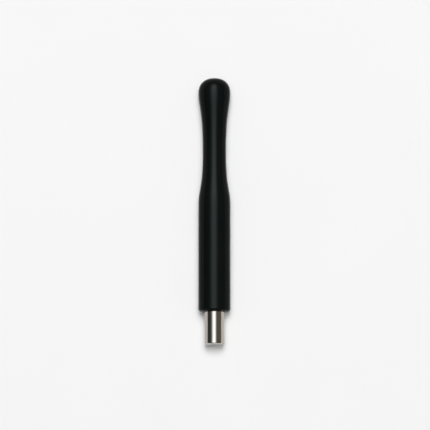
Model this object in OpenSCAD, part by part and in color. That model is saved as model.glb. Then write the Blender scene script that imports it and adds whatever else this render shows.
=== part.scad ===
// Clay shaper: a soft black handle with a bulb at one end and a flat steel cylinder at the other.
// The tool lies on its barrel along Y. The flat end of the tip faces -Y and the bulb is at +Y.
// The origin is on the supporting surface, under the middle of the tool's length.
// Every outline is drawn as [radius, distance from the tip's flat end] and turned about the tool's axis.

/* [Tip] */
// Diameter of the steel that stands out of the handle
tip_diameter = 8; // [7.6:0.1:8.4]
// Length of steel that stands out of the handle
tip_length = 13.2; // [8:0.1:18]
// Radius of the rounded edge at the flat working end
tip_edge_radius = 0.4; // [0.1:0.05:0.6]
// Chamfer round the shoulder that meets the handle
shoulder_chamfer = 0.15; // [0.05:0.05:0.3]
// Diameter of the shank, the steel inside the handle
shank_diameter = 7.2; // [6:0.1:7.4]
// Length of the shank
shank_length = 22; // [18:0.5:24]
// Width of the groove that keeps the shank from pulling out of the core
shank_groove_width = 2.4; // [1.5:0.1:3]
// Depth of that groove
shank_groove_depth = 0.7; // [0.3:0.1:1]
// Length of the two flats that keep the shank from turning in the core
shank_flat_length = 6; // [4:0.5:7]
// Depth of each flat
shank_flat_depth = 0.8; // [0.4:0.1:1.2]

/* [Handle outline] */
// Length of the handle, from the barrel's flat end to the crown of the bulb
handle_length = 95.7; // [94:0.1:100]
// Diameter of the straight barrel
barrel_diameter = 13; // [12.8:0.1:14]
// Length of the straight barrel
barrel_length = 43.2; // [40:0.1:46]
// Radius of the rounded edge at the barrel's end
barrel_edge_radius = 1.2; // [0.6:0.1:1.5]
// Diameter of the waist, the slimmest place
waist_diameter = 9.45; // [8.6:0.05:10.5]
// Distance of the waist from the barrel's end
waist_at = 65.6; // [62:0.1:68]
// Diameter of the bulb
bulb_diameter = 12.94; // [12:0.02:14]
// Distance of the bulb's widest place from the barrel's end
bulb_at = 89.8; // [88:0.1:91]

/* [Handle curves] */
// Reach of the flare's curve along the barrel's side
flare_reach_barrel = 7.5; // [4:0.1:12]
// Reach of the flare's curve along the waist's side
flare_reach_waist = 15.4; // [10:0.1:18]
// Reach of the neck's curve along the waist's side
neck_reach_waist = 17.2; // [10:0.1:19]
// Reach of the neck's curve along the bulb's side
neck_reach_bulb = 6.2; // [4:0.05:9]
// Reach of the crown's curve along the bulb's side
crown_reach_side = 4.3; // [3:0.02:5]
// Reach of the crown's curve across its top
crown_reach_top = 3.3; // [2:0.02:5]

/* [Soft skin over the rigid core] */
// Thickness of the soft skin over the core's side
skin = 1.4; // [1.2:0.1:1.6]
// Thickness of the soft lip that covers the core's open end
lip = 1.6; // [1.2:0.1:2.4]
// Thickness of the soft crown over the core's closed end
crown_skin = 2.2; // [1.5:0.1:3]
// Number of ring grooves in the core that lock the skin
lock_grooves = 3; // [1:1:4]
// Width of each ring groove
lock_groove_width = 1.6; // [1:0.1:2]
// Depth of each ring groove
lock_groove_depth = 0.7; // [0.3:0.1:1]
// Distance from one ring groove to the next
lock_groove_pitch = 4; // [3:0.5:4.5]
// Distance from the shank's inner end to the first ring groove
lock_groove_offset = 3; // [2:0.5:4]
// Number of lengthwise flutes in the core that keep the skin from turning
flutes = 4; // [2:1:6]
// Diameter of each flute
flute_diameter = 1.8; // [1:0.1:2.4]

/* [Hidden] */
$fn = 96;
CURVE_STEPS = 28;    // straight steps in each free curve
EDGE_STEPS = 8;      // straight steps in each rounded edge
PAST = 1;            // how far a cutting shape runs past what it cuts

tip_radius = tip_diameter / 2;
shank_radius = shank_diameter / 2;
barrel_radius = barrel_diameter / 2;
waist_radius = waist_diameter / 2;
bulb_radius = bulb_diameter / 2;

// Places along the axis, measured from the tip's flat end
barrel_start = tip_length;
core_start = barrel_start + lip;
shank_end = barrel_start + shank_length;
barrel_stop = barrel_start + barrel_length;
waist_place = barrel_start + waist_at;
bulb_place = barrel_start + bulb_at;
crown_place = barrel_start + handle_length;
shank_groove_place = (core_start + shank_end - shank_flat_length) / 2;
lock_first = shank_end + lock_groove_offset;
lock_last = lock_first + (lock_grooves - 1) * lock_groove_pitch;

// Points of the cubic curve from a to d that leaves towards b and arrives from c, without a itself,
// so that one curve can follow another
function curve(a, b, c, d) = [
    for (i = [1 : CURVE_STEPS])
        let (t = i / CURVE_STEPS, u = 1 - t)
            u * u * u * a + 3 * u * u * t * b + 3 * u * t * t * c + t * t * t * d
];

// Side of the handle from the barrel to the bulb's widest place, a constant depth inside the surface
function side(depth) =
    let (barrel = barrel_radius - depth, waist = waist_radius - depth, bulb = bulb_radius - depth)
        concat(
            [[barrel, barrel_stop]],
            curve(
                [barrel, barrel_stop],
                [barrel, barrel_stop + flare_reach_barrel],
                [waist, waist_place - flare_reach_waist],
                [waist, waist_place]
            ),
            curve(
                [waist, waist_place],
                [waist, waist_place + neck_reach_waist],
                [bulb, bulb_place - neck_reach_bulb],
                [bulb, bulb_place]
            )
        );

// Crown of the bulb, from its widest place to its top on the axis, the given depths inside the surface
function crown(side_depth, top_depth) =
    let (
        bulb = bulb_radius - side_depth,
        top = crown_place - top_depth,
        shrink = (top - bulb_place) / (crown_place - bulb_place)
    )
        curve(
            [bulb, bulb_place],
            [bulb, bulb_place + crown_reach_side * shrink],
            [crown_reach_top * shrink, top],
            [0, top]
        );

// Rounded edge between the side of a cylinder and its flat end, which lies at the given start
function rounded_edge(radius, start, edge_radius) = [
    for (i = [0 : EDGE_STEPS])
        let (angle = -90 + 90 * i / EDGE_STEPS)
            [radius - edge_radius + edge_radius * cos(angle), start + edge_radius + edge_radius * sin(angle)]
];

// Lays a shape that was drawn along Z down on the supporting surface, along Y
module laid_down() {
    translate([0, -crown_place / 2, barrel_radius])
        rotate([-90, 0, 0])
            children();
}

// Whole handle as one solid, with no hollow
module handle_form() {
    rotate_extrude()
        polygon(concat(
            [[0, barrel_start]],
            rounded_edge(barrel_radius, barrel_start, barrel_edge_radius),
            side(0),
            crown(0, 0)
        ));
}

// Steel cylinder with a slimmer shank behind a shoulder, a locking groove round the shank and two flats
// near its inner end
module tip_form() {
    groove_radius = shank_radius - shank_groove_depth;
    groove_from = shank_groove_place - shank_groove_width / 2;
    groove_to = shank_groove_place + shank_groove_width / 2;
    difference() {
        rotate_extrude()
            polygon(concat(
                [[0, 0]],
                rounded_edge(tip_radius, 0, tip_edge_radius),
                [
                    [tip_radius, barrel_start - shoulder_chamfer],
                    [tip_radius - shoulder_chamfer, barrel_start],
                    [shank_radius, barrel_start],
                    [shank_radius, groove_from],
                    [groove_radius, groove_from],
                    [groove_radius, groove_to],
                    [shank_radius, groove_to],
                    [shank_radius, shank_end],
                    [0, shank_end]
                ]
            ));
        for (turn = [0, 180])
            rotate([0, 0, turn])
                translate([shank_radius - shank_flat_depth, -shank_radius, shank_end - shank_flat_length])
                    cube([shank_radius, shank_diameter, shank_flat_length + PAST]);
    }
}

// Ring cut round the core, where soft skin flows in and is held
module lock_groove(place) {
    core_radius = barrel_radius - skin;
    translate([0, 0, place - lock_groove_width / 2])
        difference() {
            cylinder(r = core_radius + PAST, h = lock_groove_width);
            translate([0, 0, -PAST])
                cylinder(r = core_radius - lock_groove_depth, h = lock_groove_width + 2 * PAST);
        }
}

// Rigid core as one solid, with its outer grooves and flutes and with no socket
module core_form() {
    core_radius = barrel_radius - skin;
    difference() {
        rotate_extrude()
            polygon(concat(
                [[0, core_start], [core_radius, core_start]],
                side(skin),
                crown(skin, crown_skin)
            ));
        for (i = [0 : lock_grooves - 1])
            lock_groove(lock_first + i * lock_groove_pitch);
        for (i = [0 : flutes - 1])
            rotate([0, 0, 360 * i / flutes])
                translate([core_radius, 0, lock_first])
                    cylinder(d = flute_diameter, h = lock_last - lock_first);
    }
}

// Soft black skin from the barrel's end to the bulb, moulded over the core
module grip_sleeve() {
    color("#15191a")
        laid_down()
            difference() {
                handle_form();
                core_form();
                tip_form();
            }
}

// Rigid core that holds the steel and keeps the slim waist stiff
module handle_core() {
    color("#3a3d3f")
        laid_down()
            difference() {
                core_form();
                tip_form();
            }
}

// Polished steel cylinder
module tip() {
    color("#c9c6c0")
        laid_down()
            tip_form();
}

grip_sleeve();
handle_core();
tip();
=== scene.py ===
"""Clay shaper: the looks of a soft black handle with a polished steel end, on a pale studio floor."""
import math
import bpy
import numpy as np
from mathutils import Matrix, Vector, noise


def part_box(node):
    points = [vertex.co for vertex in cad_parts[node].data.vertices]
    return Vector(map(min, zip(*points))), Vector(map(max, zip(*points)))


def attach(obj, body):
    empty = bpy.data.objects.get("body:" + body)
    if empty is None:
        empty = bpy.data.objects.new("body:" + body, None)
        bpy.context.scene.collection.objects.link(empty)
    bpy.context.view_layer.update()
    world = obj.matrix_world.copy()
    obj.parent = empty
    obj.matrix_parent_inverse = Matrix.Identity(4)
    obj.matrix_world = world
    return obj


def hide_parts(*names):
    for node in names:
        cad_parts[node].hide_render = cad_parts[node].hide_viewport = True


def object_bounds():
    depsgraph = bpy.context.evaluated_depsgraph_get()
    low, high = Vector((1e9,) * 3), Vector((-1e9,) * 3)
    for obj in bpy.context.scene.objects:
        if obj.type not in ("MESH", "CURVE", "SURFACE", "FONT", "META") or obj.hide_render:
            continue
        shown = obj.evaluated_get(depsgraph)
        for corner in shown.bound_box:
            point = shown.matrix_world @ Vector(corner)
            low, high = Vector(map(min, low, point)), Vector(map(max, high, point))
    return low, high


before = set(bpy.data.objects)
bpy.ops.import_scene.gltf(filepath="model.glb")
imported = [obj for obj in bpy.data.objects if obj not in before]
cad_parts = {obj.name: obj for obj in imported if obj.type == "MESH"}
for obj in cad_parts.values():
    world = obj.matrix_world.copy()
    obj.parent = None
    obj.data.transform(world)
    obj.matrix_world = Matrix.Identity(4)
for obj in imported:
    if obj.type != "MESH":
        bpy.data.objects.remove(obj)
CAD_LOW, CAD_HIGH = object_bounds()
MM = 0.001

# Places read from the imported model, in metres. The tool lies along Y, with its steel end at -Y.
HANDLE_LOW, HANDLE_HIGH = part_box("grip_sleeve")
CORE_LOW, CORE_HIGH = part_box("handle_core")
TIP_LOW, TIP_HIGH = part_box("tip")
AXIS_Z = (HANDLE_LOW.z + HANDLE_HIGH.z) / 2
BARREL_RADIUS = (HANDLE_HIGH.x - HANDLE_LOW.x) / 2
BARREL_Y = HANDLE_LOW.y
CROWN_Y = HANDLE_HIGH.y
CORE_Y = CORE_LOW.y
CORE_TOP_Y = CORE_HIGH.y
SKIN = HANDLE_HIGH.x - CORE_HIGH.x
TIP_RADIUS = (TIP_HIGH.x - TIP_LOW.x) / 2
TIP_Y = TIP_LOW.y
SHANK_END_Y = TIP_HIGH.y

# Outline of the handle, as in the CAD model: places along the axis from the barrel's flat end, and radii
BARREL_EDGE = 1.2 * MM
BARREL_LENGTH = 43.2 * MM
WAIST_AT = 65.6 * MM
WAIST_RADIUS = 4.725 * MM
BULB_AT = 89.8 * MM
BULB_RADIUS = 6.47 * MM
FLARE_REACH = (7.5 * MM, 15.4 * MM)
NECK_REACH = (17.2 * MM, 6.2 * MM)
CROWN_REACH = (4.3 * MM, 3.3 * MM)

# Outline of the steel, and the depth from its flat end to which that end's own finish reaches
TIP_EDGE = 0.4 * MM
SHOULDER_CHAMFER = 0.15 * MM
SHANK_RADIUS = 3.6 * MM
GROOVE_WIDTH = 2.4 * MM
GROOVE_DEPTH = 0.7 * MM
FLAT_LENGTH = 6.0 * MM
FLAT_DEPTH = 0.8 * MM
FLAT_STEP = 0.05 * MM
FACE_DEPTH = 0.02 * MM

# Fine shape that moulding leaves on the soft skin
MOUTH_ROUND = 0.15 * MM
MOUTH_GAP = 0.06 * MM
MOUTH_DEPTH = 0.5 * MM
PARTING_HEIGHT = 0.02 * MM
PARTING_WIDTH = 0.10 * MM
WAVE_HEIGHT = 0.008 * MM
WAVE_LENGTH = 9.0 * MM
RELIEF_INSET = 0.015 * MM
RELIEF_FADE = 2.0 * MM

# Steps round the axis, in each free curve, in each rounded edge and along each straight stretch, and the
# least angle between two faces that shows as an edge
TURN_STEPS = 192
CURVE_STEPS = 64
BARREL_EDGE_STEPS = 12
MOUTH_STEPS = 6
TIP_EDGE_STEPS = 10
BARREL_STEPS = 60
TIP_STEPS = 40
FACE_STEPS = 24
SHARP_DEG = 28.0


def bezier(a, b, c, d, steps=CURVE_STEPS):
    """Points of a cubic curve after its start a."""
    a, b, c, d = (np.array(p) for p in (a, b, c, d))
    t = (np.arange(1, steps + 1) / steps)[:, None]
    u = 1 - t
    return list(map(tuple, u**3 * a + 3 * u * u * t * b + 3 * u * t * t * c + t**3 * d))


def arc(centre, radius, start_deg, end_deg, steps):
    """Points of an arc in the outline's (radius, y) plane, both ends included."""
    angles = np.radians(np.linspace(start_deg, end_deg, steps + 1))
    return [(centre[0] + radius * math.cos(a), centre[1] + radius * math.sin(a)) for a in angles]


def straight(start, end, steps):
    """Points after start, up to and including end."""
    return [
        tuple(s + (e - s) * i / steps for s, e in zip(start, end))
        for i in range(1, steps + 1)
    ]


def handle_side(depth):
    """Handle's outline from the straight barrel's end to the bulb's widest place, at a depth inside."""
    barrel = (BARREL_RADIUS - depth, BARREL_Y + BARREL_LENGTH)
    waist = (WAIST_RADIUS - depth, BARREL_Y + WAIST_AT)
    bulb = (BULB_RADIUS - depth, BARREL_Y + BULB_AT)
    return [barrel] + bezier(
        barrel,
        (barrel[0], barrel[1] + FLARE_REACH[0]),
        (waist[0], waist[1] - FLARE_REACH[1]),
        waist,
    ) + bezier(
        waist,
        (waist[0], waist[1] + NECK_REACH[0]),
        (bulb[0], bulb[1] - NECK_REACH[1]),
        bulb,
    )


def crown(depth, top):
    """Bulb's crown, from its widest place to its top on the axis."""
    widest = (BULB_RADIUS - depth, BARREL_Y + BULB_AT)
    shrink = (top - widest[1]) / (CROWN_Y - widest[1])
    return bezier(
        widest,
        (widest[0], widest[1] + CROWN_REACH[0] * shrink),
        (CROWN_REACH[1] * shrink, top),
        (0.0, top),
        CURVE_STEPS // 2,
    )


def skin_outline():
    """Closed outline of the soft skin: its outside, its mouth round the steel, and its inside."""
    lip = [(SHANK_RADIUS, CORE_Y), (BARREL_RADIUS - SKIN, CORE_Y)]
    return skin_outside() + mouth() + lip + handle_side(SKIN) + crown(SKIN, CORE_TOP_Y)


def skin_outside():
    """Outside of the soft skin, from the crown's top to the rounded edge at the barrel's flat end."""
    centre = (BARREL_RADIUS - BARREL_EDGE, BARREL_Y + BARREL_EDGE)
    edge = arc(centre, BARREL_EDGE, -90, 0, BARREL_EDGE_STEPS)
    barrel = straight(edge[-1], (BARREL_RADIUS, BARREL_Y + BARREL_LENGTH), BARREL_STEPS)
    return (edge + barrel + handle_side(0.0)[1:] + crown(0.0, CROWN_Y))[::-1]


def mouth():
    """Inner edge of the barrel's flat end, and the hole that closes round the steel's shank."""
    radius = TIP_RADIUS + MOUTH_GAP
    centre = (radius + MOUTH_ROUND, BARREL_Y + MOUTH_ROUND)
    edge = arc(centre, MOUTH_ROUND, -90, -180, MOUTH_STEPS)
    return edge + [(radius, BARREL_Y + MOUTH_DEPTH), (SHANK_RADIUS, BARREL_Y + MOUTH_DEPTH)]


def tip_outline():
    """Closed outline of the steel: flat end, rounded edge, side, shoulder and grooved shank."""
    shoulder_y = BARREL_Y
    groove_mid = (CORE_Y + SHANK_END_Y - FLAT_LENGTH) / 2
    groove = (groove_mid - GROOVE_WIDTH / 2, groove_mid + GROOVE_WIDTH / 2)
    edge = arc((TIP_RADIUS - TIP_EDGE, TIP_Y + TIP_EDGE), TIP_EDGE, -90, 0, TIP_EDGE_STEPS)
    face = straight((0.0, TIP_Y), edge[0], FACE_STEPS)
    side = straight(edge[-1], (TIP_RADIUS, shoulder_y - SHOULDER_CHAMFER), TIP_STEPS)
    flats_y = SHANK_END_Y - FLAT_LENGTH
    return (
        [(0.0, TIP_Y)]
        + face
        + edge[1:]
        + side
        + [(TIP_RADIUS - SHOULDER_CHAMFER, shoulder_y), (SHANK_RADIUS, shoulder_y)]
        + [(SHANK_RADIUS, groove[0]), (SHANK_RADIUS - GROOVE_DEPTH, groove[0])]
        + [(SHANK_RADIUS - GROOVE_DEPTH, groove[1]), (SHANK_RADIUS, groove[1])]
        + [(SHANK_RADIUS, flats_y), (SHANK_RADIUS, flats_y + FLAT_STEP)]
        + [(SHANK_RADIUS, SHANK_END_Y), (0.0, SHANK_END_Y)]
    )


def turned(name, outline, angles, shape):
    """Mesh object made by turning an outline, which starts and ends on the tool's axis, about that axis.

    shape(ring, radius, y, angle) returns a changed radius."""
    rings = outline[1:-1]
    verts = [(0.0, outline[0][1], AXIS_Z)]
    for ring, (radius, y) in enumerate(rings):
        for a in angles:
            r = shape(ring, radius, y, a)
            verts.append((r * math.sin(a), y, AXIS_Z + r * math.cos(a)))
    verts.append((0.0, outline[-1][1], AXIS_Z))
    n, last = len(angles), len(verts) - 1
    faces = [(0, 1 + i, 1 + (i + 1) % n) for i in range(n)]
    for k in range(len(rings) - 1):
        a, b = 1 + k * n, 1 + (k + 1) * n
        faces += [(a + i, b + i, b + (i + 1) % n, a + (i + 1) % n) for i in range(n)]
    base = 1 + (len(rings) - 1) * n
    faces += [(last, base + (i + 1) % n, base + i) for i in range(n)]
    mesh = bpy.data.meshes.new(name)
    mesh.from_pydata(verts, [], faces)
    mesh.update()
    if signed_volume(mesh) < 0:
        mesh.flip_normals()
    mesh.shade_smooth()
    mesh.set_sharp_from_angle(angle=math.radians(SHARP_DEG))
    made = bpy.data.objects.new(name, mesh)
    bpy.context.scene.collection.objects.link(made)
    return made


def signed_volume(mesh):
    """Volume of a closed mesh, negative if its faces point inwards."""
    mesh.calc_loop_triangles()
    at = [v.co for v in mesh.vertices]
    corners = (triangle.vertices for triangle in mesh.loop_triangles)
    return sum(at[a].dot(at[b].cross(at[c])) for a, b, c in corners) / 6


def even_angles():
    return [2 * math.pi * i / TURN_STEPS for i in range(TURN_STEPS)]


def parted_angles():
    """Even angles, with extra ones round both parting lines, at the tool's sides."""
    extra = [k * PARTING_WIDTH / 2 / BARREL_RADIUS for k in (-3, -2, -1, 1, 2, 3)]
    seams = [side + e for side in (math.pi / 2, 3 * math.pi / 2) for e in extra]
    return sorted(even_angles() + seams)


def moulded(ring, radius, y, angle):
    """Radius of the skin's outside, with its parting lines and the slight waves that cooling leaves."""
    if ring >= RELIEF_RINGS:
        return radius
    off = BARREL_RADIUS * min(abs(angle - math.pi / 2), abs(angle - 3 * math.pi / 2))
    line = PARTING_HEIGHT * math.exp(-2 * (off / PARTING_WIDTH) ** 2)
    at = Vector((radius * math.sin(angle), y, radius * math.cos(angle))) / WAVE_LENGTH
    wave = WAVE_HEIGHT * noise.noise(at)
    return radius + (line + wave - RELIEF_INSET) * min(1.0, radius / RELIEF_FADE)


# Rings of the skin's outside that carry this relief: all but the barrel's rounded edge
RELIEF_RINGS = len(skin_outside()) - (BARREL_EDGE_STEPS + 1)


def flatted(ring, radius, y, angle):
    """Radius of the shank, cut back to its two flats near the inner end."""
    if y <= SHANK_END_Y - FLAT_LENGTH:
        return radius
    return min(radius, (SHANK_RADIUS - FLAT_DEPTH) / max(abs(math.sin(angle)), 1e-6))


# Materials

def new_material(name):
    """New material, its node tree, and the principled shader that is joined to its output."""
    made = bpy.data.materials.new(name)
    made.use_nodes = True
    tree = made.node_tree
    tree.nodes.clear()
    out = tree.nodes.new("ShaderNodeOutputMaterial")
    shader = tree.nodes.new("ShaderNodeBsdfPrincipled")
    tree.links.new(shader.outputs["BSDF"], out.inputs["Surface"])
    return made, tree, shader


def position(tree, scale=(1.0, 1.0, 1.0)):
    """Object coordinates in metres, stretched by scale."""
    coord = tree.nodes.new("ShaderNodeTexCoord")
    mapping = tree.nodes.new("ShaderNodeMapping")
    mapping.inputs["Scale"].default_value = scale
    tree.links.new(coord.outputs["Object"], mapping.inputs["Vector"])
    return mapping.outputs["Vector"]


def noise_at(tree, vector, size, detail=3.0, roughness=0.5):
    """Noise with features of about this size in metres."""
    made = tree.nodes.new("ShaderNodeTexNoise")
    made.inputs["Scale"].default_value = 1.0 / size
    made.inputs["Detail"].default_value = detail
    made.inputs["Roughness"].default_value = roughness
    tree.links.new(vector, made.inputs["Vector"])
    return made.outputs["Fac"]


def remap(tree, value, low, high, start=0.0, stop=1.0):
    """A value from start to stop, and held to them, turned into one from low to high."""
    made = tree.nodes.new("ShaderNodeMapRange")
    made.inputs["From Min"].default_value = start
    made.inputs["From Max"].default_value = stop
    made.inputs["To Min"].default_value = low
    made.inputs["To Max"].default_value = high
    tree.links.new(value, made.inputs["Value"])
    return made.outputs["Result"]


def blend_colours(tree, value, stops):
    """Colour ramp over a value: stops are (place, (r, g, b))."""
    made = tree.nodes.new("ShaderNodeValToRGB")
    ramp = made.color_ramp
    while len(ramp.elements) < len(stops):
        ramp.elements.new(0.5)
    for element, (place, colour) in zip(ramp.elements, stops):
        element.position = place
        element.color = (*colour, 1.0)
    tree.links.new(value, made.inputs["Fac"])
    return made.outputs["Color"]


def math_node(tree, operation, *values):
    """Result of a math node, whose values are sockets or plain numbers."""
    made = tree.nodes.new("ShaderNodeMath")
    made.operation = operation
    for socket, value in zip(made.inputs, values):
        if isinstance(value, (int, float)):
            socket.default_value = value
        else:
            tree.links.new(value, socket)
    return made.outputs["Value"]


def bump(tree, height, distance, after=None):
    """Normal of a surface with this height map, on top of another bump if one is given."""
    made = tree.nodes.new("ShaderNodeBump")
    made.inputs["Distance"].default_value = distance
    tree.links.new(height, made.inputs["Height"])
    if after is not None:
        tree.links.new(after, made.inputs["Normal"])
    return made.outputs["Normal"]


def soft_skin_material():
    """Black soft-touch moulding: near-black with a faint green cast, satin, with a fine moulded grain.

    Its gloss is turned down towards grazing angles, as on a grained surface, where a smooth plastic
    would shine."""
    made, tree, shader = new_material("soft_skin")
    place = position(tree)
    cloud = noise_at(tree, place, 14 * MM, 4.0)
    shades = [(0.3, (0.0026, 0.0043, 0.0042)), (0.7, (0.0038, 0.0055, 0.0052))]
    colour = blend_colours(tree, cloud, shades)
    tree.links.new(colour, shader.inputs["Base Color"])
    rub = noise_at(tree, place, 5 * MM, 5.0, 0.6)
    tree.links.new(remap(tree, rub, 0.17, 0.23), shader.inputs["Roughness"])
    shader.inputs["IOR"].default_value = 1.233
    shader.inputs["Specular Tint"].default_value = (0.92, 0.955, 0.89, 1.0)
    edge = tree.nodes.new("ShaderNodeLayerWeight")
    gloss = remap(tree, edge.outputs["Facing"], 0.5, 0.13, 0.12, 0.40)
    tree.links.new(gloss, shader.inputs["Specular IOR Level"])
    coarse = bump(tree, noise_at(tree, place, 0.30 * MM, 2.0), 0.0015 * MM)
    fine = bump(tree, noise_at(tree, place, 0.09 * MM, 2.0), 0.0006 * MM, after=coarse)
    tree.links.new(fine, shader.inputs["Normal"])
    return made


def steel_material():
    """Polished stainless steel: faint lengthwise lines on its side, facing rings on its flat end, a haze
    from handling, and a few fine scratches round it. Its flat end has a lighter steel colour than its
    side, which is a painted highlight on that face."""
    made, tree, shader = new_material("polished_steel")
    place = position(tree)
    split = tree.nodes.new("ShaderNodeSeparateXYZ")
    tree.links.new(place, split.inputs["Vector"])
    x, y, z = (split.outputs[axis] for axis in "XYZ")
    up = math_node(tree, "SUBTRACT", z, AXIS_Z)
    across, over = (math_node(tree, "MULTIPLY", value, value) for value in (x, up))
    out = math_node(tree, "SQRT", math_node(tree, "ADD", across, over))
    on_end = math_node(tree, "LESS_THAN", y, TIP_Y + FACE_DEPTH)
    spread = tree.nodes.new("ShaderNodeCombineXYZ")
    tree.links.new(out, spread.inputs["X"])
    rings = noise_at(tree, spread.outputs["Vector"], 0.30 * MM, 4.0, 0.7)
    lines = noise_at(tree, position(tree, (1.0, 0.03, 1.0)), 0.12 * MM, 4.0, 0.6)
    grain = mix_values(tree, on_end, lines, rings)
    scratches = noise_at(tree, position(tree, (0.12, 1.0, 0.12)), 0.16 * MM, 1.0)
    deep = remap(tree, scratches, 0.0, 1.0, 0.71, 0.78)
    haze = noise_at(tree, place, 3 * MM, 4.0)
    sides = blend_colours(tree, grain, [(0.25, (0.420, 0.390, 0.352)), (0.75, (0.480, 0.450, 0.410))])
    # Painted highlight: the flat end gets a lighter steel colour than the side, so that face shows
    # bright
    end_painted_lighter = blend_colours(tree, grain, [(0.3, (0.600, 0.576, 0.543)), (0.7, (0.780, 0.755, 0.720))])
    tree.links.new(mix_colours(tree, on_end, sides, end_painted_lighter), shader.inputs["Base Color"])
    shader.inputs["Metallic"].default_value = 1.0
    scored = math_node(tree, "MULTIPLY", deep, 0.08)
    polished = math_node(tree, "ADD", remap(tree, haze, 0.07, 0.12), scored)
    rough = mix_values(tree, on_end, polished, remap(tree, rings, 0.18, 0.34))
    tree.links.new(rough, shader.inputs["Roughness"])
    brushed = bump(tree, grain, 0.0003 * MM)
    tree.links.new(bump(tree, deep, -0.0008 * MM, after=brushed), shader.inputs["Normal"])
    return made


def mix_values(tree, factor, first, second):
    """First value where the factor is 0, and second where it is 1."""
    made = tree.nodes.new("ShaderNodeMix")
    made.data_type = "FLOAT"
    for socket, value in zip(made.inputs[:1] + made.inputs[2:4], (factor, first, second)):
        tree.links.new(value, socket)
    return made.outputs[0]


def mix_colours(tree, factor, first, second):
    """First colour where the factor is 0, and second where it is 1."""
    made = tree.nodes.new("ShaderNodeMix")
    made.data_type = "RGBA"
    for socket, value in zip((made.inputs[0], made.inputs[6], made.inputs[7]), (factor, first, second)):
        if isinstance(value, tuple):
            socket.default_value = (*value, 1.0)
        else:
            tree.links.new(value, socket)
    return made.outputs[2]


def core_material():
    """Dark glass-filled nylon: matt, with short pale fibres just under the surface."""
    made, tree, shader = new_material("rigid_core")
    along = position(tree, (1.0, 0.35, 1.0))
    fibres = noise_at(tree, along, 0.25 * MM, 2.0)
    colour = blend_colours(tree, fibres, [(0.45, (0.035, 0.038, 0.041)), (0.72, (0.085, 0.088, 0.092))])
    tree.links.new(colour, shader.inputs["Base Color"])
    tree.links.new(remap(tree, fibres, 0.62, 0.5), shader.inputs["Roughness"])
    tree.links.new(bump(tree, fibres, 0.004 * MM), shader.inputs["Normal"])
    return made


def paper_material():
    """Pale matt studio paper with a very faint unevenness."""
    made, tree, shader = new_material("studio_paper")
    cloud = noise_at(tree, position(tree), 40 * MM)
    colour = blend_colours(tree, cloud, [(0.3, (0.905,) * 3), (0.7, (0.915,) * 3)])
    tree.links.new(colour, shader.inputs["Base Color"])
    shader.inputs["Roughness"].default_value = 0.9
    shader.inputs["Specular IOR Level"].default_value = 0.0
    return made


def wear(piece, material):
    """Gives a piece one material and no other."""
    piece.data.materials.clear()
    piece.data.materials.append(material)


# Stage

# Camera: how far it stands from the tool, how high it looks from, how wide it sees at the tool's axis,
# and where it aims from the tool's middle
CAMERA_DISTANCE = 2.0
CAMERA_ELEVATION = 83.4
VIEW_WIDTH = 0.1749
AIM_OFFSET = (0.00025, -0.0017)
SENSOR = 36.0

# Three overhead lights that light the floor and cast the tool's soft shadows: how far each reaches, in
# degrees from straight up as the tool sees it, sideways and lengthwise, and its radiance
LAMP_HEIGHT = 3.0
STRIP = ((-3.5, 3.5), (-12.0, 12.0), 14.8)
MIDDLE = ((-9.0, 9.0), (7.0, 25.0), 10.2)
BANK = ((-16.0, 16.0), (-8.0, 26.0), 3.9)

# Softbox that the handle and the steel mirror, as pairs of an angle in degrees and a share of its light.
# It fades towards its sides, and it's brighter towards the bulb.
SOFTBOX_HEIGHT = 0.5
SOFTBOX_RADIANCE = 2.3
SOFTBOX_TINT = (0.99, 1.06, 1.13)
SOFTBOX_ACROSS = (
    (-44.0, 0.0), (-30.0, 0.13), (-21.0, 0.55), (-11.0, 1.0),
    (2.0, 1.04), (12.0, 0.72), (20.0, 0.2), (27.0, 0.0),
)
SOFTBOX_ALONG = (
    (-40.0, 0.6), (-6.0, 0.87), (3.7, 1.0), (13.0, 1.28),
    (31.0, 1.56), (46.0, 1.1), (62.0, 0.3),
)

FLOOR_SIZE = 8.0


def build_camera():
    """Camera above the tool, leaning a little towards its steel end."""
    data = bpy.data.cameras.new("camera")
    data.sensor_width = SENSOR
    data.lens = SENSOR * CAMERA_DISTANCE / VIEW_WIDTH
    data.clip_end = 50.0
    made = bpy.data.objects.new("camera", data)
    bpy.context.scene.collection.objects.link(made)
    middle = (CAD_LOW + CAD_HIGH) / 2
    aim = Vector((middle.x + AIM_OFFSET[0], middle.y + AIM_OFFSET[1], AXIS_Z))
    lean = math.radians(CAMERA_ELEVATION)
    back = Vector((0.0, -math.cos(lean), math.sin(lean)))
    made.location = aim + back * CAMERA_DISTANCE
    made.rotation_euler = (-back).to_track_quat("-Z", "Y").to_euler()
    bpy.context.scene.camera = made


def area_light(name, height, side, length, radiance, shadows):
    """Rectangular light that points straight down and makes either the shadows or the reflections.

    side and length are the angles that it reaches, in degrees from straight up."""
    x0, x1 = (height * math.tan(math.radians(a)) for a in side)
    y0, y1 = (height * math.tan(math.radians(a)) for a in length)
    data = bpy.data.lights.new(name, "AREA")
    data.shape = "RECTANGLE"
    data.size, data.size_y = x1 - x0, y1 - y0
    data.energy = radiance * math.pi * data.size * data.size_y
    data.cycles.use_multiple_importance_sampling = not shadows
    made = bpy.data.objects.new(name, data)
    made.location = ((x0 + x1) / 2, (y0 + y1) / 2, height)
    made.visible_camera = False
    made.visible_glossy = not shadows
    made.visible_diffuse = shadows
    bpy.context.scene.collection.objects.link(made)
    return data


def fade(tree, place, height, stops):
    """Share of a softbox's light at a place on it, between stops given as (angle, share)."""
    reach = [height * math.tan(math.radians(angle)) for angle, _ in stops]
    first, last = reach[0], reach[-1]
    shares = [share for _, share in stops]
    most = max(shares)
    greys = [((at - first) / (last - first), (share / most,) * 3) for at, share in zip(reach, shares)]
    span = remap(tree, place, 0.0, 1.0, first, last)
    return math_node(tree, "MULTIPLY", blend_colours(tree, span, greys), most)


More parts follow.
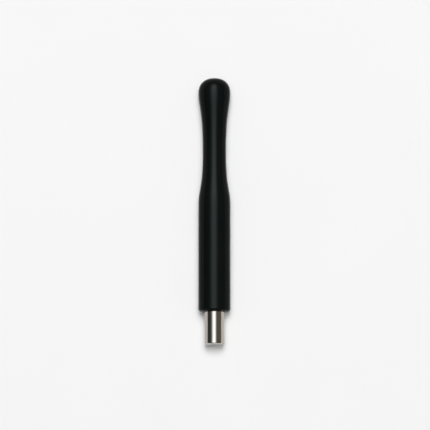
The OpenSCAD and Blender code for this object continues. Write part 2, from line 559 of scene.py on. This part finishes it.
def build_softbox():
    """Softbox with smooth fades across and along, which only shows in reflections."""
    side, length = ((stops[0][0], stops[-1][0]) for stops in (SOFTBOX_ACROSS, SOFTBOX_ALONG))
    data = area_light("softbox", SOFTBOX_HEIGHT, side, length, SOFTBOX_RADIANCE, shadows=False)
    data.color = SOFTBOX_TINT
    data.use_nodes = True
    tree = data.node_tree
    spot = tree.nodes.new("ShaderNodeNewGeometry")
    split = tree.nodes.new("ShaderNodeSeparateXYZ")
    tree.links.new(spot.outputs["Position"], split.inputs["Vector"])
    across = fade(tree, split.outputs["X"], SOFTBOX_HEIGHT, SOFTBOX_ACROSS)
    along = fade(tree, split.outputs["Y"], SOFTBOX_HEIGHT, SOFTBOX_ALONG)
    share = math_node(tree, "MULTIPLY", across, along)
    tree.links.new(share, tree.nodes["Emission"].inputs["Strength"])


def build_lights():
    """Three lights for the floor and the shadows, and the softbox for the reflections."""
    for name, lamp in (("strip", STRIP), ("middle", MIDDLE), ("bank", BANK)):
        area_light(name, LAMP_HEIGHT, *lamp, shadows=True)
    build_softbox()


# Room: the soft light it adds, its backdrop, the walls that the steel mirrors to the left and right, and
# the paper that turns up at the floor's far edge, which fades out between two heights of a unit sphere
ROOM_FILL = 0.109
BACKDROP = 0.92
ROOM_LEFT = (0.066, 0.065, 0.061)
ROOM_RIGHT = (0.175, 0.152, 0.124)
PAPER_COLOUR = (0.82, 0.82, 0.81)
PAPER_HEIGHT = (0.05, 0.10)


def build_room():
    """World that fills evenly, mirrors as a dim studio, and shows pale behind the floor."""
    world = bpy.data.worlds.new("studio")
    bpy.context.scene.world = world
    world.use_nodes = True
    tree = world.node_tree
    tree.nodes.clear()
    out = tree.nodes.new("ShaderNodeOutputWorld")
    path = tree.nodes.new("ShaderNodeLightPath")
    coord = tree.nodes.new("ShaderNodeTexCoord")
    split = tree.nodes.new("ShaderNodeSeparateXYZ")
    tree.links.new(coord.outputs["Generated"], split.inputs["Vector"])
    across = remap(tree, split.outputs["X"], 0.0, 1.0, start=-1.0)
    walls = blend_colours(tree, across, [(0.3, ROOM_LEFT), (0.7, ROOM_RIGHT)])
    above = remap(tree, split.outputs["Z"], 0.0, 1.0, *PAPER_HEIGHT)
    dim = background(tree, 1.0)
    tree.links.new(mix_colours(tree, above, PAPER_COLOUR, walls), dim.inputs["Color"])
    fill = background(tree, ROOM_FILL)
    pale = background(tree, BACKDROP)
    mirrored = mix_shaders(tree, path.outputs["Is Glossy Ray"], fill, dim)
    shown = mix_shaders(tree, path.outputs["Is Camera Ray"], mirrored, pale)
    tree.links.new(shown.outputs[0], out.inputs["Surface"])


def background(tree, strength):
    """White background shader of this strength."""
    made = tree.nodes.new("ShaderNodeBackground")
    made.inputs["Color"].default_value = (1.0, 1.0, 1.0, 1.0)
    made.inputs["Strength"].default_value = strength
    return made


def mix_shaders(tree, factor, first, second):
    """First shader where the factor is 0, and second where it is 1."""
    made = tree.nodes.new("ShaderNodeMixShader")
    tree.links.new(factor, made.inputs[0])
    tree.links.new(first.outputs[0], made.inputs[1])
    tree.links.new(second.outputs[0], made.inputs[2])
    return made


def build_floor():
    """Pale floor at the tool's underside."""
    half = FLOOR_SIZE / 2
    mesh = bpy.data.meshes.new("floor")
    corners = [(-half, -half), (half, -half), (half, half), (-half, half)]
    mesh.from_pydata([(x, y, CAD_LOW.z) for x, y in corners], [], [(0, 1, 2, 3)])
    made = bpy.data.objects.new("floor", mesh)
    bpy.context.scene.collection.objects.link(made)
    wear(made, paper_material())


skin = turned("soft_skin_handle", skin_outline(), parted_angles(), moulded)
wear(skin, soft_skin_material())
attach(skin, "root")
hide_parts("grip_sleeve")

steel = turned("polished_steel_tip", tip_outline(), even_angles(), flatted)
wear(steel, steel_material())
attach(steel, "root")
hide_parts("tip")

wear(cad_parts["handle_core"], core_material())

build_floor()
build_room()
build_lights()
build_camera()
bpy.context.scene.view_settings.view_transform = "Standard"
